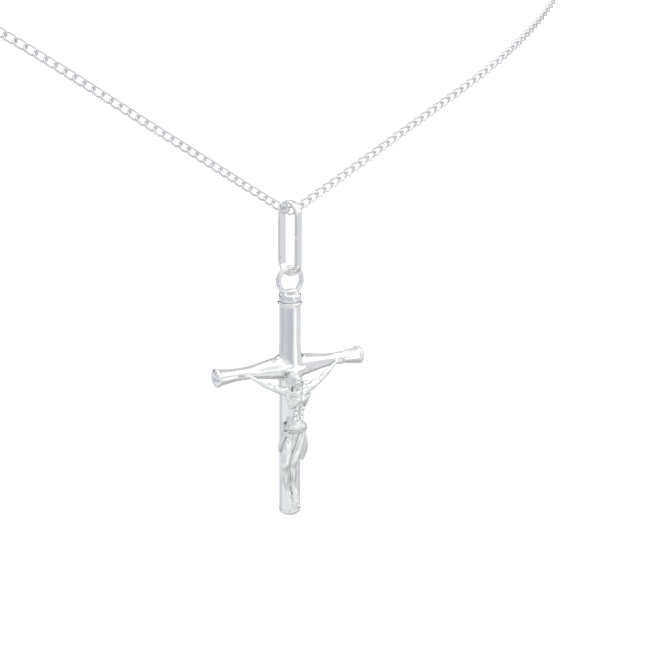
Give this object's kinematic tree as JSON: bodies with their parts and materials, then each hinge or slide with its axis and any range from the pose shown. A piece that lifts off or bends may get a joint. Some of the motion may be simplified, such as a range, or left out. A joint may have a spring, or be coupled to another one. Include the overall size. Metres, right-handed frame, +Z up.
{
  "type": "crucifix pendant on a chain",
  "caption": "Silver crucifix pendant: round-tube cross with a cast figure, an eyelet and a long bail, hanging from a fine curb chain with a ring clasp.",
  "frame": {"origin": "middle of the ring clasp, where the chain rests on the nape of the neck", "axes": "+Z up, -Y the way the figure faces, +X to the right of someone who looks at the figure's front"},
  "size_m": [0.127, 0.1091, 0.1022],
  "materials": {
    "silver_bright": "high polish sterling silver",
    "silver_cast": "cast and polished sterling silver",
    "silver_chain": "polished sterling silver links"
  },
  "bodies": {
    "necklace": {"chain": "silver_chain", "clasp": "silver_bright", "end_ring": "silver_bright"},
    "bail": {"bail": "silver_bright"},
    "crucifix": {"cross": "silver_bright", "corpus": "silver_cast"}
  },
  "joints": [
    {"name": "bail_swing", "type": "hinge", "parent": "necklace", "child": "bail", "pos_m": [0, -0.104, -0.062], "axis": [1, 0, 0], "range_deg": [-75, 75]},
    {"name": "cross_swing", "type": "hinge", "parent": "bail", "child": "crucifix", "pos_m": [0, -0.104, -0.06859], "axis": [1, 0, 0], "range_deg": [-75, 75]}
  ]
}
